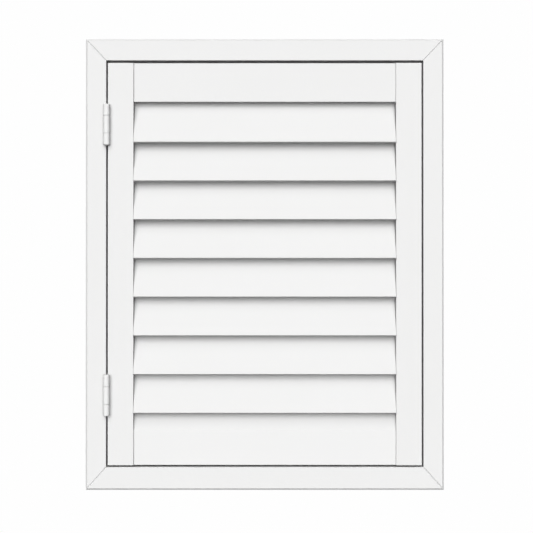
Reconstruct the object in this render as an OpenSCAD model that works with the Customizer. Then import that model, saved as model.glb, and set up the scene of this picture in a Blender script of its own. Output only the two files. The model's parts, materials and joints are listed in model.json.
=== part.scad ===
// Louvred shutter: one hinged panel of tilting slats in a mitred frame.
// Millimetres, +Z up, the front faces -Y. The origin is the middle of the
// wall screw pattern, on the plane where the frame meets the wall.

/* [Frame] */
// Width of the frame over all
frame_w = 651; // [500:1:800]
// Height of the frame over all
frame_h = 820; // [700:1:950]
// Depth of the frame, from its face to the wall
frame_depth = 42; // [38:0.5:60]
// Width of the jambs' face
jamb_face_w = 37.2; // [32:0.1:50]
// Width of the head's face
head_face_w = 39.3; // [32:0.1:50]
// Width of the sill's face
sill_face_w = 41.7; // [32:0.1:50]
// How far the stop stands out behind the panel, at the jambs
stop_w = 18; // [16:0.5:24]
// Chamfer along the outer edges of the frame's face
frame_chamfer = 3.2; // [1:0.1:5]
// Radius of the eased inner edges of the frame's face
frame_round = 1; // [0.5:0.1:2.5]
// Side of the square whose corner cuts the groove along each mitre
groove_size = 1.6; // [0.4:0.1:2]

/* [Panel] */
// Gap between the panel and each jamb
gap_side = 3; // [2.9:0.1:5]
// Gap between the panel and the head
gap_top = 4.4; // [2:0.1:8]
// Gap between the panel and the sill
gap_bottom = 3.5; // [2:0.1:8]
// Gap between the panel's back and the stop
stop_gap = 1; // [0.6:0.1:2]
// Width of each stile
stile_w = 46.6; // [40:0.1:60]
// Thickness of the stiles
stile_t = 24; // [20:0.5:27]
// Radius of the eased edges along each stile's face
stile_round = 0.8; // [0.5:0.1:4]
// Thickness of the top rail, which sits in the middle of the stiles
rail_t = 16; // [14:0.5:20]
// Height of the top rail
top_rail_h = 70.5; // [62:0.5:90]
// Height of the bottom rail
bottom_rail_h = 98.6; // [80:0.1:130]
// Radius of the eased lower front edge of the top rail
rail_round = 1.2; // [0.5:0.1:3]
// Height of the bevel along the top of the bottom rail's face
bevel_h = 35.5; // [20:0.5:45]
// Depth of that bevel
bevel_d = 13; // [6:0.5:15]
// Diameter of the dowels between rails and stiles
dowel_d = 8; // [6:0.5:10]
// Length of each dowel
dowel_l = 56; // [40:1:70]
// Distance between the two dowels of a joint
dowel_spacing = 34; // [26:1:40]

/* [Louvres] */
// Number of louvres
louvre_count = 8; // [7:1:10]
// Width of a louvre slat
louvre_w = 84; // [76:0.5:90]
// Thickness of a louvre slat
louvre_t = 7; // [6.5:0.5:11]
// Radius of the slat's rounded edges
louvre_round = 1; // [0.5:0.1:3]
// Tilt of the slats from upright, lower edge to the front
louvre_tilt = 20; // [14:0.5:40]
// Gap between a slat's end and the stile
end_gap = 0.4; // [0.3:0.1:2]
// How far the end slats reach past the edge of the rails
rail_overlap = 5.1; // [3:0.1:8]
// Diameter of the pivot pins
pivot_d = 4.5; // [3.5:0.1:5]
// Length of a pivot pin inside the slat
pivot_in_slat = 16; // [10:0.5:30]
// Length of a pivot pin inside the stile
pivot_in_stile = 12; // [8:0.5:20]

/* [Hinges] */
// Height of a hinge
hinge_h = 75; // [60:1:90]
// Height of the middle knuckle, which is the panel's
knuckle_h = 32; // [24:0.5:40]
// Diameter of the barrel
barrel_d = 12; // [9:0.1:13]
// Diameter of the hinge pin
hinge_pin_d = 5; // [4:0.1:6]
// Air between the closed leaves
leaf_air = 0.6; // [0.3:0.1:1]
// From the leaves' back edge to the panel's back
leaf_setback = 3; // [1:0.5:8]
// From the panel's top to the middle of the upper hinge
hinge_drop = 113; // [90:1:200]
// From the panel's bottom to the middle of the lower hinge
hinge_rise = 127.5; // [90:1:200]

/* [Tilt linkage] */
// Distance of the tilt bar from the closing stile
bar_inset = 53.1; // [40:0.1:200]
// Thickness of the tilt bar
bar_t = 2.5; // [2:0.1:4]
// Width of the tilt bar
bar_w = 7; // [6:0.1:8]
// Diameter of the rivets
rivet_d = 3; // [2.4:0.1:3.4]
// Distance of the rivets past the slat's edge
link_reach = 7; // [6.5:0.1:9]
// Distance of the rivets behind the slat's back
link_rise = 3; // [2.8:0.1:5]
// Thickness of a clip's ear
ear_t = 2; // [1.5:0.1:3]
// Thickness of a clip's pad
pad_t = 1.8; // [1:0.1:2.4]
// Width of a clip's pad
pad_w = 14; // [10:0.5:20]
// Length of a clip's pad
pad_l = 14; // [10:0.5:20]

/* [Catches] */
// Diameter of the catch magnets
magnet_d = 8; // [6:0.1:9]
// Length of a catch magnet
magnet_l = 8; // [5:0.1:12]
// Distance of the catches from the ends of the panel
catch_end = 145; // [80:1:250]
// Rim of the stile left beside a strike plate
strike_rim = 0.8; // [0.5:0.1:1.5]
// Height of a strike plate
strike_h = 42; // [34:1:60]
// Thickness of a strike plate
strike_t = 1.2; // [0.8:0.1:2]

/* [Fixings] */
// Diameter of the wall screw holes
wall_hole_d = 5; // [4:0.1:6]
// Diameter of their countersinks
wall_sink_d = 10; // [8:0.1:11]
// Distance of the wall screws from the ends of a jamb
wall_inset = 110; // [80:0.5:200]
// Diameter of the hinge screws
hinge_screw_d = 3.4; // [2.5:0.1:4]
// Head diameter of the hinge screws
hinge_screw_head_d = 6.8; // [5:0.1:7.5]
// Length of the hinge screws
hinge_screw_l = 20; // [12:0.5:28]
// Distance between the screws of a leaf
leaf_screw_spacing = 27; // [20:0.5:30]
// Diameter of the strike plates' screws
strike_screw_d = 2.4; // [2:0.1:3]
// Head diameter of the strike plates' screws
strike_screw_head_d = 4.6; // [4:0.1:5.5]
// Length of the strike plates' screws
strike_screw_l = 12; // [8:0.5:16]
// Distance between the screws of a strike plate
strike_screw_spacing = 30; // [24:0.5:34]
// Length of a corner key across the mitre
key_l = 22; // [16:0.5:28]
// Width of a corner key at its ends
key_end_w = 13; // [10:0.5:16]
// Width of a corner key at its waist
key_waist_w = 7; // [5:0.5:9]
// Length of that waist
key_waist_l = 4; // [2:0.5:8]
// Depth of the corner keys
key_depth = 12; // [8:0.5:20]

/* [Hidden] */
$fn = 48;
louvres = [1 : louvre_count];

// Radial clearance of pins that turn, and of pieces driven or set in place
fit = 0.05;
// Extra length of every cut, so that it leaves no skin
overrun = 1;
// Gap between knuckles, and between links that turn side by side
side_gap = 0.3;
// Gap between the barrel and the faces behind it
barrel_gap = 0.4;
// Gap between the barrel and the plate of the other leaf
leaf_gap = 0.6;
// Air between a closed strike plate and its magnet
magnet_air = 0.3;
// Gap round the swept edge of the first louvre
cove_gap = 1.5;
// How far the lip of the top rail reaches behind the pivots
lip_past_pivot = 2;
// Chamfer on the ends of pins
tip = 0.8;
// Chamfer on the ends of knuckles, and rounding of the barrel's two tips
knuckle_tip = 0.5;
barrel_tip_r = 2;
// Diameter of a screw's tip
point_d = 0.9;
// Width and depth of the cross in a screw head
cross_w = 0.9;
cross_d = 0.9;
// Size of a rivet's heads
rivet_head_d = 5.4;
rivet_head_h = 1;
// Radius of a clip's eye, and the rise of its ear over the slat's back
eye_r = 3.2;
ear_rise = 3.4;
// How far the bar runs on past its end rivets
bar_end = 8;
// Share of a screw's length that is its point
point_share = 0.25;
// Share of the mitre's length, from the outer corner, at which the key sits
key_place_share = 0.5;

// Depths, from the face of the frame and stiles back to the wall
face_y = -frame_depth;
pivot_y = face_y + stile_t / 2;
rail_y = pivot_y - rail_t / 2;
panel_back_y = face_y + stile_t;
stop_y = panel_back_y + stop_gap;
// The bottom rail runs from the plane of the top rail's face to the stiles' back
bottom_rail_t = panel_back_y - rail_y;

// The panel inside the frame
panel_w = frame_w - 2 * (jamb_face_w + gap_side);
panel_top = frame_h / 2 - head_face_w - gap_top;
panel_bottom = -frame_h / 2 + sill_face_w + gap_bottom;
bay_w = panel_w - 2 * stile_w;

// The stops' widths keep the same mitre line as the faces
head_stop_w = stop_w * head_face_w / jamb_face_w;
sill_stop_w = stop_w * sill_face_w / jamb_face_w;

// The louvres share out the height between the rails, which the end ones overlap
louvre_reach = (louvre_w / 2 - louvre_round) * cos(louvre_tilt)
    + (louvre_t / 2 - louvre_round) * sin(louvre_tilt) + louvre_round;
edge_r = norm([louvre_w / 2 - louvre_round, louvre_t / 2 - louvre_round]) + louvre_round;
top_rail_z = panel_top - top_rail_h;
first_pivot_z = top_rail_z + rail_overlap - louvre_reach;
last_pivot_z = panel_bottom + bottom_rail_h - rail_overlap + louvre_reach;
louvre_pitch = (first_pivot_z - last_pivot_z) / (louvre_count - 1);
louvre_l = bay_w - 2 * end_gap;
function pivot_z(i) = first_pivot_z - (i - 1) * louvre_pitch;

// Rivets of the tilt bar, in a slat's own axes and then at rest
link_u = louvre_w / 2 + link_reach;
link_v = louvre_t / 2 + link_rise;
link_y = pivot_y + link_u * sin(louvre_tilt) + link_v * cos(louvre_tilt);
link_drop = link_v * sin(louvre_tilt) - link_u * cos(louvre_tilt);
bar_x = bay_w / 2 - bar_inset;
ear_x = bar_x + bar_t / 2 + side_gap;

// Hinge axis, in front of the gap beside the panel
hinge_x = -panel_w / 2 - gap_side / 2;
hinge_y = face_y - barrel_gap - barrel_d / 2;
upper_hinge_z = panel_top - hinge_drop;
lower_hinge_z = panel_bottom + hinge_rise;
leaf_t = (gap_side - leaf_air) / 2;
plate_y = hinge_y + barrel_d / 2 + leaf_gap;
leaf_back_y = panel_back_y - leaf_setback;
leaf_screw_y = (face_y + leaf_back_y) / 2;
end_knuckle_h = (hinge_h - knuckle_h) / 2 - side_gap;

// Catches and wall screws, along the middle of the stops
stop_mid_x = frame_w / 2 - jamb_face_w - stop_w / 2;
catch_zs = [panel_bottom + catch_end, panel_top - catch_end];
magnet_y = panel_back_y + magnet_air;
strike_w = 2 * (panel_w / 2 - stop_mid_x - strike_rim);
wall_zs = [wall_inset - frame_h / 2, frame_h / 2 - wall_inset];

paint = "#f0f0ee";
hinge_paint = "#ecebe8";
nylon = "#e4e2da";
steel = "#b9bcc0";
timber = "#d8b98a";
alloy = "#c9ccd0";

// Profiles

// A bar across X and deep along Y whose two front edges are eased
module eased_bar(w, d, r) {
    translate([0, r]) square([w, d - r]);
    translate([r, 0]) square([w - 2 * r, d]);
    for (x = [r, w - r]) translate([x, r]) circle(r);
}

// A rectangle round the origin with all four corners rounded
module rounded_rectangle(w, h, r) {
    square([w - 2 * r, h], center = true);
    square([w, h - 2 * r], center = true);
    for (x = [r - w / 2, w / 2 - r], y = [r - h / 2, h / 2 - r]) translate([x, y]) circle(r);
}

// Carries a profile along X, with its X upwards and its Y to the back
module along_x(l) {
    rotate([0, -90, 0]) linear_extrude(l, center = true) children();
}

// Places a member that is drawn as a sill: outer edge down, length along X
module at_sill() { translate([0, 0, -frame_h / 2]) children(); }
module at_head() { translate([0, 0, frame_h / 2]) rotate([0, 180, 0]) children(); }
module at_hinge_jamb() { translate([-frame_w / 2, 0, 0]) rotate([0, 90, 0]) children(); }
module at_closing_jamb() { translate([frame_w / 2, 0, 0]) rotate([0, -90, 0]) children(); }

// Places what is drawn at the left end of a member, there or mirrored at its right end
module at_left_end(l) { translate([-l / 2, 0, 0]) children(); }
module at_right_end(l) { mirror([1, 0, 0]) at_left_end(l) children(); }

// A countersunk screw pointing down from its flat head, or with play its hole
module screw(d, head_d, l, play) {
    sink_h = (head_d - d) / 2;
    point_h = l * point_share;
    difference() {
        union() {
            translate([0, 0, -sink_h])
                cylinder(h = sink_h, d1 = d + 2 * play, d2 = head_d + 2 * play);
            translate([0, 0, point_h - l]) cylinder(h = l - point_h, d = d + 2 * play);
            translate([0, 0, -l - play])
                cylinder(h = point_h + play, d1 = 2 * play + point_d, d2 = d + 2 * play);
        }
        if (play == 0) for (a = [0, 90]) rotate(a)
            cube([head_d / 2, cross_w, 2 * cross_d], center = true);
    }
}

// A pin that stands on the origin, with both ends chamfered
module chamfered_pin(l, d, c) {
    cylinder(h = c, d1 = d - 2 * c, d2 = d);
    translate([0, 0, c]) cylinder(h = l - 2 * c, d = d);
    translate([0, 0, l - c]) cylinder(h = c, d1 = d, d2 = d - 2 * c);
}

// Such a pin along X, its left end at the origin
module pin_x(l, d) {
    rotate([0, 90, 0]) chamfered_pin(l, d, tip);
}

// Frame

// The bow-tie outline of a corner key, across a mitre that runs along X
module key_outline(play) {
    end_w = key_end_w - 2 * play;
    waist_w = key_waist_w - 2 * play;
    l = key_l - 2 * play;
    polygon([
        [-end_w / 2, -l / 2], [end_w / 2, -l / 2],
        [waist_w / 2, -key_waist_l / 2], [waist_w / 2, key_waist_l / 2],
        [end_w / 2, l / 2], [-end_w / 2, l / 2],
        [-waist_w / 2, key_waist_l / 2], [-waist_w / 2, -key_waist_l / 2]
    ]);
}

// A corner key, from the back of the frame; run and rise span the mitre line
module corner_key(run, rise, play, over) {
    translate([run * key_place_share, over, rise * key_place_share])
        rotate([0, -atan2(rise, run), 0]) rotate([90, 0, 0])
            linear_extrude(key_depth + over) key_outline(play);
}

// The groove on the face along a mitre line
module mitre_groove(run, rise) {
    line = norm([run, rise]);
    translate([0, face_y, 0]) rotate([0, -atan2(rise, run), 0]) rotate([45, 0, 0])
        translate([line / 2, 0, 0])
            cube([line + 2 * groove_size, groove_size, groove_size], center = true);
}

// The bar behind a member's face: outer edge chamfered, inner edge eased
module frame_bar(face) {
    inner = face - frame_round;
    polygon([
        [0, frame_chamfer], [frame_chamfer, 0], [inner, 0], [inner, frame_depth], [0, frame_depth]
    ]);
    translate([frame_chamfer, frame_round])
        square([face - frame_chamfer, frame_depth - frame_round]);
    translate([inner, frame_round]) circle(frame_round);
}

// One mitred member; the neighbours' faces set the slope of each mitre
module frame_member(l, face, stop, left_face, right_face) {
    section_h = face + stop;
    left_run = section_h * left_face / face;
    right_run = section_h * right_face / face;
    difference() {
        intersection() {
            along_x(l) {
                translate([0, face_y]) frame_bar(face);
                translate([0, stop_y]) square([section_h, -stop_y]);
            }
            rotate([90, 0, 0]) linear_extrude(2 * frame_depth + overrun, center = true) polygon([
                [-l / 2, 0], [l / 2, 0],
                [l / 2 - right_run, section_h], [left_run - l / 2, section_h]
            ]);
        }
        at_left_end(l) mitre_groove(left_face, face);
        at_right_end(l) mitre_groove(right_face, face);
        at_left_end(l) corner_key(left_face, face, 0, overrun);
        at_right_end(l) corner_key(right_face, face, 0, overrun);
    }
}

module frame_head() {
    color(paint) at_head()
        frame_member(frame_w, head_face_w, head_stop_w, jamb_face_w, jamb_face_w);
}

module frame_sill() {
    color(paint) at_sill()
        frame_member(frame_w, sill_face_w, sill_stop_w, jamb_face_w, jamb_face_w);
}

// Countersunk holes for the wall screws, through the stop of one jamb
module wall_holes(side) {
    for (z = wall_zs) translate([side * stop_mid_x, stop_y, z])
        rotate([-90, 0, 0]) {
            translate([0, 0, -overrun]) cylinder(h = 2 * overrun - stop_y, d = wall_hole_d);
            cylinder(h = (wall_sink_d - wall_hole_d) / 2, d1 = wall_sink_d, d2 = wall_hole_d);
        }
}

module hinge_jamb() {
    color(paint) difference() {
        at_hinge_jamb()
            frame_member(frame_h, jamb_face_w, stop_w, head_face_w, sill_face_w);
        wall_holes(-1);
        frame_leaf_screws(fit);
    }
}

module closing_jamb() {
    color(paint) difference() {
        at_closing_jamb()
            frame_member(frame_h, jamb_face_w, stop_w, sill_face_w, head_face_w);
        wall_holes(1);
        at_catches(magnet_y) magnet(fit);
    }
}

module corner_keys() {
    color(nylon) {
        at_sill() {
            at_left_end(frame_w) corner_key(jamb_face_w, sill_face_w, fit, 0);
            at_right_end(frame_w) corner_key(jamb_face_w, sill_face_w, fit, 0);
        }
        at_head() {
            at_left_end(frame_w) corner_key(jamb_face_w, head_face_w, fit, 0);
            at_right_end(frame_w) corner_key(jamb_face_w, head_face_w, fit, 0);
        }
    }
}

// Hinges

// One knuckle and the web that ties it to its plate; side is -1 on the frame
module knuckle(side, z, h) {
    web_x = side < 0 ? -gap_side / 2 : gap_side / 2 - leaf_t;
    translate([hinge_x, hinge_y, z]) {
        chamfered_pin(h, barrel_d, knuckle_tip);
        translate([web_x, 0, 0]) cube([leaf_t, plate_y - hinge_y, h]);
    }
}

// The plate of one leaf, flat against the jamb or the stile
module leaf_plate(side, z) {
    plate_x = side < 0 ? -gap_side / 2 : gap_side / 2 - leaf_t;
    translate([hinge_x + plate_x, plate_y, z - hinge_h / 2])
        cube([leaf_t, leaf_back_y - plate_y, hinge_h]);
}

// Rounds off the outer end of the barrel, which is at the origin
module barrel_tip() {
    r = barrel_tip_r;
    rotate_extrude() translate([barrel_d / 2 - r, -r]) difference() {
        square([r + overrun, r + overrun]);
        circle(r);
    }
}

module hinge_bore(z) {
    translate([hinge_x, hinge_y, z - hinge_h / 2 - overrun])
        cylinder(h = hinge_h + 2 * overrun, d = hinge_pin_d + 2 * fit);
}

module frame_leaf(z) {
    color(hinge_paint) difference() {
        union() {
            leaf_plate(-1, z);
            knuckle(-1, z - hinge_h / 2, end_knuckle_h);
            knuckle(-1, z + hinge_h / 2 - end_knuckle_h, end_knuckle_h);
        }
        hinge_bore(z);
        frame_leaf_screws(fit);
        translate([hinge_x, hinge_y, z + hinge_h / 2]) barrel_tip();
        translate([hinge_x, hinge_y, z - hinge_h / 2]) mirror([0, 0, 1]) barrel_tip();
    }
}

module panel_leaf(z) {
    color(hinge_paint) difference() {
        union() {
            leaf_plate(1, z);
            knuckle(1, z - knuckle_h / 2, knuckle_h);
        }
        hinge_bore(z);
        panel_leaf_screws(fit);
    }
}

module hinge_pin(z) {
    color(steel) translate([hinge_x, hinge_y, z - hinge_h / 2])
        chamfered_pin(hinge_h, hinge_pin_d, tip);
}

module upper_hinge_frame_leaf() { frame_leaf(upper_hinge_z); }
module upper_hinge_panel_leaf() { panel_leaf(upper_hinge_z); }
module upper_hinge_pin() { hinge_pin(upper_hinge_z); }
module lower_hinge_frame_leaf() { frame_leaf(lower_hinge_z); }
module lower_hinge_panel_leaf() { panel_leaf(lower_hinge_z); }
module lower_hinge_pin() { hinge_pin(lower_hinge_z); }

// The screws of both hinges, heads flush with the leaves, or with play their holes
module leaf_screws(side, play) {
    head_x = hinge_x + side * (gap_side / 2 - leaf_t);
    offsets = [-leaf_screw_spacing, 0, leaf_screw_spacing];
    for (z = [upper_hinge_z, lower_hinge_z], dz = offsets)
        translate([head_x, leaf_screw_y, z + dz]) rotate([0, -90 * side, 0])
            screw(hinge_screw_d, hinge_screw_head_d, hinge_screw_l, play);
}

module frame_leaf_screws(play) { leaf_screws(-1, play); }
module panel_leaf_screws(play) { leaf_screws(1, play); }
module frame_hinge_screws() { color(steel) frame_leaf_screws(0); }
module panel_hinge_screws() { color(steel) panel_leaf_screws(0); }

// Panel

module stile_bar(x) {
    translate([x, face_y, panel_bottom])
        linear_extrude(panel_top - panel_bottom) eased_bar(stile_w, stile_t, stile_round);
}

// The bores of the louvre pivots in both stiles
module pivot_bores() {
    for (i = louvres) translate([-bay_w / 2 - pivot_in_stile - fit, pivot_y, pivot_z(i)])
        rotate([0, 90, 0])
            cylinder(h = bay_w + 2 * (pivot_in_stile + fit), d = pivot_d + 2 * fit);
}

// The dowels of the four joints, or with play their holes
module dowels(play) {
    d = dowel_d + 2 * play;
    l = dowel_l + 2 * play;
    rails_z = [panel_top - top_rail_h / 2, panel_bottom + bottom_rail_h / 2];
    for (x = [-bay_w / 2, bay_w / 2], z = rails_z, dz = [-dowel_spacing / 2, dowel_spacing / 2])
        translate([x - l / 2, pivot_y, z + dz]) pin_x(l, d);
}

module hinge_stile() {
    color(paint) difference() {
        stile_bar(-panel_w / 2);
        pivot_bores();
        dowels(fit);
        panel_leaf_screws(fit);
    }
}

module closing_stile() {
    color(paint) difference() {
        stile_bar(panel_w / 2 - stile_w);
        pivot_bores();
        dowels(fit);
        at_catches(panel_back_y) strike_plate_blank(fit);
        strike_plate_screws(fit);
    }
}

// The top rail's lower back edge is coved to let the first louvre turn
module top_rail() {
    lip_y = pivot_y + lip_past_pivot;
    cove_r = edge_r + cove_gap;
    color(paint) difference() {
        translate([0, 0, top_rail_z]) along_x(bay_w) translate([0, rail_y]) {
            translate([rail_round, 0]) square([top_rail_h - rail_round, rail_t]);
            translate([0, rail_round]) square([top_rail_h, rail_t - rail_round]);
            translate([rail_round, rail_round]) circle(rail_round);
        }
        intersection() {
            translate([-bay_w / 2 - overrun, pivot_y, first_pivot_z]) rotate([0, 90, 0])
                cylinder(h = bay_w + 2 * overrun, r = cove_r);
            translate([-bay_w / 2 - overrun, lip_y, top_rail_z - overrun])
                cube([bay_w + 2 * overrun, cove_r, cove_r]);
        }
        dowels(fit);
    }
}

// The bottom rail's face is bevelled along its top, like the slats in front of it
module bottom_rail() {
    color(paint) difference() {
        translate([0, 0, panel_bottom]) along_x(bay_w) translate([0, rail_y]) polygon([
            [0, 0], [bottom_rail_h - bevel_h, 0], [bottom_rail_h, bevel_d],
            [bottom_rail_h, bottom_rail_t], [0, bottom_rail_t]
        ]);
        dowels(fit);
    }
}

module rail_dowels() { color(timber) dowels(0); }

// Louvres, each drawn upright about its pivot and then tilted

module at_louvre(i) {
    translate([0, pivot_y, pivot_z(i)]) rotate([-louvre_tilt, 0, 0]) children();
}

module louvre(i) {
    color(paint) at_louvre(i) difference() {
        along_x(louvre_l) rounded_rectangle(louvre_w, louvre_t, louvre_round);
        for (side = [0, 1]) mirror([side, 0, 0])
            translate([louvre_l / 2 - pivot_in_slat - fit, 0, 0]) rotate([0, 90, 0])
                cylinder(h = pivot_in_slat + fit + overrun, d = pivot_d + 2 * fit);
    }
}

module louvre_pins(i) {
    color(nylon) at_louvre(i) for (side = [0, 1]) mirror([side, 0, 0])
        translate([louvre_l / 2 - pivot_in_slat, 0, 0])
            pin_x(pivot_in_slat + end_gap + pivot_in_stile, pivot_d);
}

// Tilt linkage

// A clip: a pad on the slat's back, and an ear that carries the eye of the link
module tilt_clip(i) {
    back = louvre_t / 2;
    pad_end = louvre_w / 2 - louvre_round;
    pad_start = pad_end - pad_l;
    color(nylon) at_louvre(i) difference() {
        union() {
            translate([ear_x, back, pad_start]) cube([pad_w, pad_t, pad_l]);
            translate([ear_x + ear_t / 2, 0, 0]) along_x(ear_t) {
                polygon([
                    [pad_start, back], [pad_end, back], [link_u, link_v - eye_r],
                    [link_u, link_v + eye_r], [pad_start, back + ear_rise]
                ]);
                translate([link_u, link_v]) circle(eye_r);
            }
        }
        translate([ear_x - overrun, link_v, link_u]) rotate([0, 90, 0])
            cylinder(h = ear_t + 2 * overrun, d = rivet_d + 2 * fit);
    }
}

module tilt_bar() {
    bar_bottom = last_pivot_z - link_drop - bar_end;
    bar_l = first_pivot_z - link_drop + bar_end - bar_bottom;
    color(alloy) difference() {
        translate([bar_x - bar_t / 2, link_y - bar_w / 2, bar_bottom]) cube([bar_t, bar_w, bar_l]);
        for (i = louvres) translate([bar_x - bar_t / 2 - overrun, link_y, pivot_z(i) - link_drop])
            rotate([0, 90, 0]) cylinder(h = bar_t + 2 * overrun, d = rivet_d + 2 * fit);
    }
}

// Rivets through the bar and the clips' eyes, with a head at each side
module tilt_rivets() {
    grip = bar_t + 2 * side_gap + ear_t;
    color(steel) for (i = louvres)
        translate([bar_x - bar_t / 2, link_y, pivot_z(i) - link_drop]) rotate([0, 90, 0]) {
            cylinder(h = grip, d = rivet_d);
            translate([0, 0, -rivet_head_h]) cylinder(h = rivet_head_h, d = rivet_head_d);
            translate([0, 0, grip]) cylinder(h = rivet_head_h, d = rivet_head_d);
        }
}

// Catches

// Places both catches at a depth, behind the closing stile
module at_catches(y) {
    for (z = catch_zs) translate([stop_mid_x, y, z]) children();
}

// A round magnet set into the stop, with play its socket
module magnet(play) {
    rotate([-90, 0, 0]) cylinder(h = magnet_l + play, d = magnet_d + 2 * play);
}

// A strike plate let into the stile's back, with play its recess
module strike_plate_blank(play) {
    w = strike_w + 2 * play;
    h = strike_h + 2 * play;
    t = strike_t + play;
    translate([-w / 2, -t, -h / 2]) cube([w, play > 0 ? t + overrun : t, h]);
}

module strike_plate_screws(play) {
    for (dz = [-strike_screw_spacing / 2, strike_screw_spacing / 2]) at_catches(panel_back_y)
        translate([0, 0, dz]) rotate([-90, 0, 0])
            screw(strike_screw_d, strike_screw_head_d, strike_screw_l, play);
}

module catch_magnets() { color(steel) at_catches(magnet_y) magnet(0); }

module strike_plates() {
    color(steel) difference() {
        at_catches(panel_back_y) strike_plate_blank(0);
        strike_plate_screws(fit);
    }
}

module strike_screws() { color(steel) strike_plate_screws(0); }

frame_head();
frame_sill();
hinge_jamb();
closing_jamb();
corner_keys();
upper_hinge_frame_leaf();
upper_hinge_panel_leaf();
upper_hinge_pin();
lower_hinge_frame_leaf();
lower_hinge_panel_leaf();
lower_hinge_pin();
frame_hinge_screws();
panel_hinge_screws();
hinge_stile();
closing_stile();
top_rail();
bottom_rail();
rail_dowels();
for (i = louvres) {
    louvre(i);
    louvre_pins(i);
    tilt_clip(i);
}
tilt_bar();
tilt_rivets();
catch_magnets();
strike_plates();
strike_screws();
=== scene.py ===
"""Looks of a louvred shutter: a hinged panel of tilting slats in a mitred wall frame."""

import json
import math

import bpy
import numpy as np
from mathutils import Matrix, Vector

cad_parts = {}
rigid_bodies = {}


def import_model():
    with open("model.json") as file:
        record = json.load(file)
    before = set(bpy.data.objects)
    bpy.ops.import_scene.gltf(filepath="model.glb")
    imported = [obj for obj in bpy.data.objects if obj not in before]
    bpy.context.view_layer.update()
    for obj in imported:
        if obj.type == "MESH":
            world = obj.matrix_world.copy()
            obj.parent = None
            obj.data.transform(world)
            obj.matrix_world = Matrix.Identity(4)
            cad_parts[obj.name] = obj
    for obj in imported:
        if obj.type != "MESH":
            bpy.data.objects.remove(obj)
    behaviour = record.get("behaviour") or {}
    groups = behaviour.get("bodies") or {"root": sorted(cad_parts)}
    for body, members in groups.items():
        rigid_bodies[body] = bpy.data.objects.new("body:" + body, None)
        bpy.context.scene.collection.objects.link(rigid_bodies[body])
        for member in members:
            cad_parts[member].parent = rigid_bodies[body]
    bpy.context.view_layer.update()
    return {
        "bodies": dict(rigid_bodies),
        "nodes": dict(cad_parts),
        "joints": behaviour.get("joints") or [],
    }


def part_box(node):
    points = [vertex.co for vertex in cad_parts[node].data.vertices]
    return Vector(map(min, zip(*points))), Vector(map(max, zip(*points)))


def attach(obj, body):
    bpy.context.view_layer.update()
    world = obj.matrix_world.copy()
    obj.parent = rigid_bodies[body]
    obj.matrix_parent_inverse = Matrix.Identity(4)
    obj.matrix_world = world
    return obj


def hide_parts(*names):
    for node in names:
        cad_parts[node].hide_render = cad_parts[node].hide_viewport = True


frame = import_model()
nodes = frame["nodes"]
scene = bpy.context.scene

# Viewpoint
# A camera straight in front of the closed panel, a touch right of its middle
# and below it, looking up by a fraction of a degree.
eye = bpy.data.objects.new("eye", bpy.data.cameras.new("eye"))
eye.data.sensor_width = 36.0
eye.data.lens = 76.5
eye.location = (0.0032, -2.1, -0.0137)
eye.rotation_euler = (math.radians(90.27), 0, 0)
scene.collection.objects.link(eye)
scene.camera = eye
scene.view_settings.view_transform = "Standard"

# Studio
# A tall soft light in front, a little to the left, made of a broad lamp and a
# weak one above it. Another one behind, from below, keeps the back readable
# without shining through the slats. The shutter hangs well above a pale floor.


def broad_lamp(name, towards, spread, level):
    """A far lamp that shines along a direction, from a disc that is spread degrees wide."""
    lamp = bpy.data.objects.new(name, bpy.data.lights.new(name, "SUN"))
    lamp.data.angle, lamp.data.energy = math.radians(spread), level
    lamp.rotation_euler = Vector(towards).to_track_quat("-Z", "Y").to_euler()
    scene.collection.objects.link(lamp)


broad_lamp("front_lamp", towards=(0.075, 1, -0.23), spread=62, level=2.66)
broad_lamp("upper_lamp", towards=(0.04, 1, -0.84), spread=56, level=0.72)
broad_lamp("back_lamp", towards=(-0.3, -1, 0.35), spread=40, level=2.9)


def blend_values(net, kind, *values):
    """A Math node of one kind, over sockets and numbers in turn."""
    blend = net.nodes.new("ShaderNodeMath")
    blend.operation = kind
    for socket, value in zip(blend.inputs, values):
        if isinstance(value, float):
            socket.default_value = value
        else:
            net.links.new(value, socket)
    return blend.outputs["Value"]


def blend_colours(net, factor, a, b):
    """The mix of two colours, or of sockets that give them, by a factor."""
    mix = net.nodes.new("ShaderNodeMix")
    mix.data_type = "RGBA"
    net.links.new(factor, mix.inputs["Factor"])
    for label, colour in (("A", a), ("B", b)):
        if isinstance(colour, tuple):
            mix.inputs[label].default_value = (*colour, 1)
        else:
            net.links.new(colour, mix.inputs[label])
    return mix.outputs["Result"]


def spread_value(net, value, low, high):
    """Carries a value of 0 to 1 to the range from low to high, in a straight line."""
    span = net.nodes.new("ShaderNodeMapRange")
    span.inputs["To Min"].default_value, span.inputs["To Max"].default_value = low, high
    net.links.new(value, span.inputs["Value"])
    return span.outputs["Result"]


# The surround is white to the eye and dimmer in reflections, and it hardly
# lights the object, so that the lamps alone shape its shadows.
BACKDROP_LEVEL, MIRRORED_SHARE, FILL_LEVEL = 0.992, 0.3, 0.025
surround = bpy.data.worlds.new("white_surround")
surround.use_nodes = True
scene.world = surround
net = surround.node_tree
sky = net.nodes["Background"]
sky.inputs["Color"].default_value = (1, 1, 1, 1)
rays = net.nodes.new("ShaderNodeLightPath").outputs
mirrored = blend_values(
    net, "MULTIPLY_ADD", rays["Is Glossy Ray"], MIRRORED_SHARE, rays["Is Transmission Ray"])
shown = blend_values(net, "MAXIMUM", rays["Is Camera Ray"], mirrored)
net.links.new(spread_value(net, shown, FILL_LEVEL, BACKDROP_LEVEL), sky.inputs["Strength"])

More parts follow.
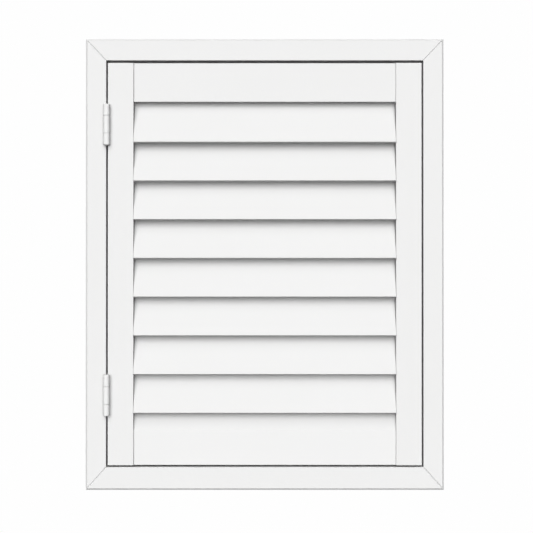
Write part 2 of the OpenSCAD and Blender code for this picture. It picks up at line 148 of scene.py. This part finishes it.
# The floor is a disc that fades into the backdrop towards its rim. It throws
# little light back up at the object.
FLOOR_MIDDLE, FLOOR_RADIUS = (0, -0.3, -1.3), 2.2
FADE_START, FADE_END = 0.7, 2.1
FLOOR_PALE, FLOOR_GLOW, FLOOR_BOUNCE = (0.9, 0.9, 0.9), (0.5, 0.5, 0.5), (0.08, 0.08, 0.08)
BACKDROP_WHITE, BLACK = (BACKDROP_LEVEL, BACKDROP_LEVEL, BACKDROP_LEVEL), (0, 0, 0)
angles = np.linspace(0, 2 * math.pi, 64, endpoint=False)
rim = np.stack([np.cos(angles), np.sin(angles), np.zeros_like(angles)], -1)
floor_mesh = bpy.data.meshes.new("floor")
floor_mesh.from_pydata((rim * FLOOR_RADIUS + FLOOR_MIDDLE).tolist(), [], [range(len(angles))])
floor = bpy.data.objects.new("floor", floor_mesh)
scene.collection.objects.link(floor)
pale = bpy.data.materials.new("pale_floor")
pale.use_nodes = True
net, link = pale.node_tree, pale.node_tree.links.new
place = net.nodes.new("ShaderNodeTexCoord")
reach = net.nodes.new("ShaderNodeVectorMath")
reach.operation = "DISTANCE"
reach.inputs[1].default_value = FLOOR_MIDDLE
fade = net.nodes.new("ShaderNodeMapRange")
fade.interpolation_type = "SMOOTHSTEP"
fade.inputs["From Min"].default_value = FADE_START
fade.inputs["From Max"].default_value = FADE_END
seen = net.nodes.new("ShaderNodeLightPath").outputs["Is Camera Ray"]
ground = net.nodes["Principled BSDF"]
ground.inputs["Roughness"].default_value = 0.9
ground.inputs["Specular IOR Level"].default_value = 0.0
link(place.outputs["Object"], reach.inputs[0])
link(reach.outputs["Value"], fade.inputs["Value"])
floor_tone = blend_colours(net, fade.outputs["Result"], FLOOR_PALE, BLACK)
link(blend_colours(net, seen, FLOOR_BOUNCE, floor_tone), ground.inputs["Base Color"])
floor_glow = blend_colours(net, fade.outputs["Result"], FLOOR_GLOW, BACKDROP_WHITE)
link(floor_glow, ground.inputs["Emission Color"])
link(seen, ground.inputs["Emission Strength"])
floor_mesh.materials.append(pale)

# Frame
# Four lengths of L-section timber, mitred at the corners and sprayed with
# satin white. A trace of grain is left in the paint, and it runs along each
# length: it is turned one way on level pieces and another on upright ones.
LEVEL, UPRIGHT = (0, 0, 0), (0, math.radians(90), 0)
BOUNCE_TONE = (0.2, 0.2, 0.2)


def noise(net, vector, scale, detail, stretch=(1, 1, 1)):
    """Cloud noise of the coordinates, which are first scaled along each axis."""
    stretched = net.nodes.new("ShaderNodeMapping")
    stretched.inputs["Scale"].default_value = stretch
    cloud = net.nodes.new("ShaderNodeTexNoise")
    cloud.inputs["Scale"].default_value = scale
    cloud.inputs["Detail"].default_value = detail
    net.links.new(vector, stretched.inputs["Vector"])
    net.links.new(stretched.outputs["Vector"], cloud.inputs["Vector"])
    return cloud.outputs["Fac"]


def effect_group(name, numbers, outputs):
    """A node group that takes a vector and named numbers and puts out named values."""
    group = bpy.data.node_groups.new(name, "ShaderNodeTree")
    group.interface.new_socket("Vector", in_out="INPUT", socket_type="NodeSocketVector")
    for label in numbers:
        group.interface.new_socket(label, in_out="INPUT", socket_type="NodeSocketFloat")
    for label in outputs:
        group.interface.new_socket(label, in_out="OUTPUT", socket_type="NodeSocketFloat")
    given = group.nodes.new("NodeGroupInput").outputs
    return group, given, group.nodes.new("NodeGroupOutput").inputs


# Sprayed paint: Mottle drifts slowly over the piece, Gloss varies by the hand's
# breadth, and Height adds the spray's orange peel to grain that runs along X.
sprayed, given, put = effect_group(
    "sprayed_paint", numbers=("Grain", "Peel"), outputs=("Mottle", "Gloss", "Height"))
orange_peel = noise(sprayed, given["Vector"], scale=700, detail=2)
fine_grain = noise(sprayed, given["Vector"], scale=60, detail=4, stretch=(0.08, 8, 8))
peel_height = blend_values(sprayed, "MULTIPLY", orange_peel, given["Peel"])
grain_height = blend_values(sprayed, "MULTIPLY", fine_grain, given["Grain"])
sprayed.links.new(noise(sprayed, given["Vector"], scale=9, detail=2), put["Mottle"])
sprayed.links.new(noise(sprayed, given["Vector"], scale=35, detail=3), put["Gloss"])
sprayed.links.new(blend_values(sprayed, "ADD", peel_height, grain_height), put["Height"])


def satin_paint(name, turn, tones, gloss, grain, peel, shading=None):
    """White paint between two tones by Mottle, with roughness between two values by Gloss, over
    a bump of Height. Light that bounces off it is dimmed, as between close pieces that shade
    each other. A shading function may change the tone further."""
    paint = bpy.data.materials.new(name)
    paint.use_nodes = True
    net, link = paint.node_tree, paint.node_tree.links.new
    place = net.nodes.new("ShaderNodeTexCoord")
    along = net.nodes.new("ShaderNodeMapping")
    along.inputs["Rotation"].default_value = turn
    spray = net.nodes.new("ShaderNodeGroup")
    spray.node_tree = sprayed
    spray.inputs["Grain"].default_value = grain
    spray.inputs["Peel"].default_value = peel
    bounced = net.nodes.new("ShaderNodeLightPath").outputs["Is Diffuse Ray"]
    bump = net.nodes.new("ShaderNodeBump")
    bump.inputs["Distance"].default_value = 0.001
    bump.inputs["Strength"].default_value = 0.5
    finish = net.nodes["Principled BSDF"]
    finish.inputs["Specular IOR Level"].default_value = 0.12
    link(place.outputs["Object"], along.inputs["Vector"])
    link(along.outputs["Vector"], spray.inputs["Vector"])
    tone = blend_colours(net, spray.outputs["Mottle"], *tones)
    if shading:
        tone = shading(net, tone)
    link(blend_colours(net, bounced, tone, BOUNCE_TONE), finish.inputs["Base Color"])
    link(spread_value(net, spray.outputs["Gloss"], *gloss), finish.inputs["Roughness"])
    link(spray.outputs["Height"], bump.inputs["Height"])
    link(bump.outputs["Normal"], finish.inputs["Normal"])
    return paint


def finish_nodes(material, *names):
    """Gives CAD nodes one material in place of their plain one."""
    for name in names:
        nodes[name].data.materials.clear()
        nodes[name].data.materials.append(material)


satin_gloss = (0.5, 0.6)
frame_white = ((0.842, 0.842, 0.837), (0.857, 0.857, 0.855))
level_paint = satin_paint(
    "satin_white_level", LEVEL, frame_white, satin_gloss, grain=0.10, peel=0.05)
upright_paint = satin_paint(
    "satin_white_upright", UPRIGHT, frame_white, satin_gloss, grain=0.10, peel=0.05)
finish_nodes(level_paint, "frame_head", "frame_sill")
finish_nodes(upright_paint, "hinge_jamb", "closing_jamb")

# Corner keys
# Bow-tie keys of moulded white nylon, pressed into sockets in the back of the
# frame, one across each mitre.


def moulded_plastic(name, colour):
    """Moulded plastic between a colour and a slightly darker one, with a fine eroded skin."""
    plastic = bpy.data.materials.new(name)
    plastic.use_nodes = True
    net, link = plastic.node_tree, plastic.node_tree.links.new
    place = net.nodes.new("ShaderNodeTexCoord").outputs["Object"]
    darker = tuple(0.92 * channel for channel in colour)
    tone = blend_colours(net, noise(net, place, scale=60, detail=3), colour, darker)
    sheen = spread_value(net, noise(net, place, scale=120, detail=2), low=0.38, high=0.55)
    bump = net.nodes.new("ShaderNodeBump")
    bump.inputs["Distance"].default_value = 0.0004
    bump.inputs["Strength"].default_value = 0.3
    finish = net.nodes["Principled BSDF"]
    link(tone, finish.inputs["Base Color"])
    link(sheen, finish.inputs["Roughness"])
    link(noise(net, place, scale=2500, detail=2), bump.inputs["Height"])
    link(bump.outputs["Normal"], finish.inputs["Normal"])
    return plastic


nylon = moulded_plastic("moulded_nylon", (0.74, 0.73, 0.68))
finish_nodes(nylon, "corner_keys")

# Hinges
# Two steel butt hinges, enamelled white like the frame: three knuckles on a
# bright pin, and leaves screwed to the jamb and to the edge of the panel.
enamel_gloss = (0.42, 0.52)
enamel_white = ((0.89, 0.89, 0.885), (0.905, 0.905, 0.90))
enamel = satin_paint("hinge_enamel", LEVEL, enamel_white, enamel_gloss, grain=0.0, peel=0.06)
finish_nodes(enamel, "upper_hinge_frame_leaf", "upper_hinge_panel_leaf")
finish_nodes(enamel, "lower_hinge_frame_leaf", "lower_hinge_panel_leaf")

# Drawn metal: Gloss and Height are streaks that run along X.
drawn, given, put = effect_group(
    "drawn_streaks", numbers=("Scale",), outputs=("Gloss", "Height"))
stretched = drawn.nodes.new("ShaderNodeMapping")
stretched.inputs["Scale"].default_value = (0.03, 1, 1)
streaks = drawn.nodes.new("ShaderNodeTexNoise")
streaks.inputs["Detail"].default_value = 3
drawn.links.new(given["Vector"], stretched.inputs["Vector"])
drawn.links.new(stretched.outputs["Vector"], streaks.inputs["Vector"])
drawn.links.new(given["Scale"], streaks.inputs["Scale"])
drawn.links.new(streaks.outputs["Fac"], put["Gloss"])
drawn.links.new(streaks.outputs["Fac"], put["Height"])


def bare_metal(name, turn, tones, gloss, scale):
    """Metal between two tones and two values of roughness, both by streaks along its length."""
    metal = bpy.data.materials.new(name)
    metal.use_nodes = True
    net, link = metal.node_tree, metal.node_tree.links.new
    place = net.nodes.new("ShaderNodeTexCoord")
    along = net.nodes.new("ShaderNodeMapping")
    along.inputs["Rotation"].default_value = turn
    lines = net.nodes.new("ShaderNodeGroup")
    lines.node_tree = drawn
    lines.inputs["Scale"].default_value = scale
    bump = net.nodes.new("ShaderNodeBump")
    bump.inputs["Distance"].default_value = 0.0002
    bump.inputs["Strength"].default_value = 0.2
    finish = net.nodes["Principled BSDF"]
    finish.inputs["Metallic"].default_value = 1.0
    link(place.outputs["Object"], along.inputs["Vector"])
    link(along.outputs["Vector"], lines.inputs["Vector"])
    link(blend_colours(net, lines.outputs["Gloss"], *tones), finish.inputs["Base Color"])
    link(spread_value(net, lines.outputs["Gloss"], *gloss), finish.inputs["Roughness"])
    link(lines.outputs["Height"], bump.inputs["Height"])
    link(bump.outputs["Normal"], finish.inputs["Normal"])
    return metal


steel_tones = ((0.5, 0.5, 0.5), (0.64, 0.63, 0.62))
drawn_steel = bare_metal("drawn_steel", UPRIGHT, steel_tones, gloss=(0.2, 0.36), scale=1200)
finish_nodes(drawn_steel, "upper_hinge_pin", "lower_hinge_pin")
zinc_tones = ((0.36, 0.37, 0.38), (0.50, 0.50, 0.49))
zinc = bare_metal("bright_zinc", LEVEL, zinc_tones, gloss=(0.30, 0.46), scale=900)
finish_nodes(zinc, "frame_hinge_screws", "panel_hinge_screws")

# Panel
# Two stiles and two thinner rails of the same painted timber, dowelled and
# glued. The rails sit back from the face of the stiles, and a bevel along the
# top of the bottom rail's face runs in under the lowest slat. The bottom rail's
# paint carries painted light on its face and painted shade on the bevel.
finish_nodes(upright_paint, "hinge_stile", "closing_stile")
finish_nodes(level_paint, "top_rail")
BEVEL_HEIGHT = 0.0355
# The bevel's painted shade: the share of black runs between these two values up the bevel.
BEVEL_PAINTED_SHADE_LOW, BEVEL_PAINTED_SHADE_HIGH = 0.16, 0.53


def bevel_painted_shade(net, tone):
    """Painted shade: darkens the bevel's colour, as if the slat above shaded it. The share of
    black is the slope, which is the product of the normal's Y and Z, times a depth that grows up
    the bevel. The normal's Y points back into the panel, so both ends of the depth are below zero."""
    place = net.nodes.new("ShaderNodeTexCoord")
    height = net.nodes.new("ShaderNodeSeparateXYZ")
    facing = net.nodes.new("ShaderNodeSeparateXYZ")
    rail_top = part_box("bottom_rail")[1].z
    depth = net.nodes.new("ShaderNodeMapRange")
    depth.inputs["From Min"].default_value = rail_top - BEVEL_HEIGHT
    depth.inputs["From Max"].default_value = rail_top
    depth.inputs["To Min"].default_value = -BEVEL_PAINTED_SHADE_LOW
    depth.inputs["To Max"].default_value = -BEVEL_PAINTED_SHADE_HIGH
    net.links.new(place.outputs["Object"], height.inputs["Vector"])
    net.links.new(place.outputs["Normal"], facing.inputs["Vector"])
    net.links.new(height.outputs["Z"], depth.inputs["Value"])
    slope = blend_values(net, "MULTIPLY", facing.outputs["Y"], facing.outputs["Z"])
    share = blend_values(net, "MULTIPLY", slope, depth.outputs["Result"])
    return blend_colours(net, share, tone, BLACK)


# The bottom rail's white is a lighter copy of the frame's: painted light that lifts its face above
# the stiles' tone.
rail_lit_white = ((0.864, 0.864, 0.859), (0.879, 0.879, 0.877))
shaded_rail_paint = satin_paint("satin_white_rail_painted_light_and_shade", LEVEL, rail_lit_white, satin_gloss,
                         grain=0.10, peel=0.05, shading=bevel_painted_shade)
finish_nodes(shaded_rail_paint, "bottom_rail")

beech = bpy.data.materials.new("bare_beech")
beech.use_nodes = True
net = beech.node_tree
place = net.nodes.new("ShaderNodeTexCoord").outputs["Object"]
growth = noise(net, place, scale=90, detail=5, stretch=(0.06, 6, 6))
tone = blend_colours(net, growth, (0.50, 0.33, 0.18), (0.68, 0.49, 0.29))
net.links.new(tone, net.nodes["Principled BSDF"].inputs["Base Color"])
net.nodes["Principled BSDF"].inputs["Roughness"].default_value = 0.65
finish_nodes(beech, "rail_dowels")

# Louvres
# Eight flat slats with eased edges, sprayed before they are hung. Each leans
# with its lower edge to the front and turns on nylon pins let into its ends.
SLAT_WIDTH, SLAT_THICK, SLAT_TILT = 0.084, 0.007, math.radians(20)
SLAT_EASE, END_EASE = 0.001, 0.0006
EDGE_STEPS, END_STEPS = 7, 6
# The slats' white is a darker copy of the frame's: painted shade that takes back the extra light
# the tilted slats catch.
slat_shaded_white = ((0.824, 0.824, 0.819), (0.838, 0.838, 0.836))
shaded_slat_paint = satin_paint("satin_white_slat_painted_shade", LEVEL, slat_shaded_white, satin_gloss, grain=0.08, peel=0.05)


def slat_surface(x_low, x_high, pivot):
    """A rounded rectangle carried along X and tilted about its pivot. At each end it draws in by
    a quarter round: the inset is the ease times one less the sine, and the way along X is the
    ease times one less the cosine."""
    quarter = math.pi / 2
    turn = np.linspace(0, quarter, EDGE_STEPS)
    corner = np.concatenate([turn + q * quarter for q in range(4)])
    diagonal = np.repeat(np.arange(4) * quarter + quarter / 2, EDGE_STEPS)
    out_u, out_v = np.cos(corner), np.sin(corner)
    lean = np.linspace(0, quarter, END_STEPS)
    step = END_EASE * (1 - np.cos(lean))
    along = np.concatenate([x_low + step, x_high - step[::-1]])
    inset = END_EASE * (1 - np.sin(np.concatenate([lean, lean[::-1]])))
    facing = np.concatenate([-np.cos(lean), np.cos(lean[::-1])])
    side = np.sqrt(1 - facing**2)
    ease = SLAT_EASE - inset[:, None]
    u = np.sign(np.cos(diagonal)) * (SLAT_WIDTH / 2 - SLAT_EASE) + ease * out_u
    v = np.sign(np.sin(diagonal)) * (SLAT_THICK / 2 - SLAT_EASE) + ease * out_v
    c, s = math.cos(SLAT_TILT), math.sin(SLAT_TILT)
    x = np.broadcast_to(along[:, None], u.shape)
    points = np.stack([x, pivot.y + u * s + v * c, pivot.z + u * c - v * s], -1)
    normals = np.stack([
        np.broadcast_to(facing[:, None], u.shape),
        side[:, None] * (out_u * s + out_v * c),
        side[:, None] * (out_u * c - out_v * s),
    ], -1)
    rows, cols = u.shape
    here = np.arange(rows * cols).reshape(rows, cols)
    there = np.roll(here, -1, axis=1)
    quads = np.stack([here[:-1], here[1:], there[1:], there[:-1]], -1).reshape(-1, 4)
    caps = [here[0].tolist(), here[-1][::-1].tolist()]
    return points.reshape(-1, 3), normals.reshape(-1, 3), quads.tolist() + caps


pivots = {joint["child"]: Vector(joint["pos_m"]) for joint in frame["joints"]}
for louvre in (name for name in frame["bodies"] if name.startswith("louvre_")):
    low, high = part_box(louvre)
    points, normals, faces = slat_surface(low.x, high.x, pivots[louvre])
    mesh = bpy.data.meshes.new(f"{louvre}_slat")
    mesh.from_pydata(points.tolist(), [], faces)
    mesh.polygons.foreach_set("use_smooth", np.ones(len(faces), bool))
    mesh.normals_split_custom_set_from_vertices(normals.tolist())
    mesh.materials.append(shaded_slat_paint)
    slat = bpy.data.objects.new(f"{louvre}_slat", mesh)
    scene.collection.objects.link(slat)
    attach(slat, louvre)
    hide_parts(louvre)
finish_nodes(nylon, *(name for name in nodes if name.startswith("louvre_pins_")))

# Tilt linkage
# A flat alloy strip down the back, coated white and riveted to a nylon clip on
# each slat, so that all the slats turn together.
clip_nylon = moulded_plastic("clip_nylon", (0.77, 0.765, 0.73))
finish_nodes(clip_nylon, *(name for name in nodes if name.startswith("tilt_clip_")))
coating = satin_paint("bar_coating", UPRIGHT, enamel_white, enamel_gloss, grain=0.0, peel=0.06)
finish_nodes(coating, "tilt_bar")
rivet_tones = ((0.6, 0.6, 0.6), (0.74, 0.74, 0.74))
rivet_steel = bare_metal("rivet_steel", LEVEL, rivet_tones, gloss=(0.25, 0.4), scale=1500)
finish_nodes(rivet_steel, "tilt_rivets")

# Catches
# Nickel-plated magnets pressed into the stop, and zinc-plated strike plates let
# into the back of the closing stile, each plate held by two small screws.
nickel_tones = ((0.58, 0.56, 0.52), (0.68, 0.66, 0.62))
nickel = bare_metal("nickel_plate", LEVEL, nickel_tones, gloss=(0.16, 0.28), scale=700)
finish_nodes(nickel, "catch_magnets")
plate_tones = ((0.54, 0.55, 0.57), (0.68, 0.69, 0.7))
plate_zinc = bare_metal("plate_zinc", UPRIGHT, plate_tones, gloss=(0.28, 0.42), scale=1100)
finish_nodes(plate_zinc, "strike_plates")
finish_nodes(zinc, "strike_screws")
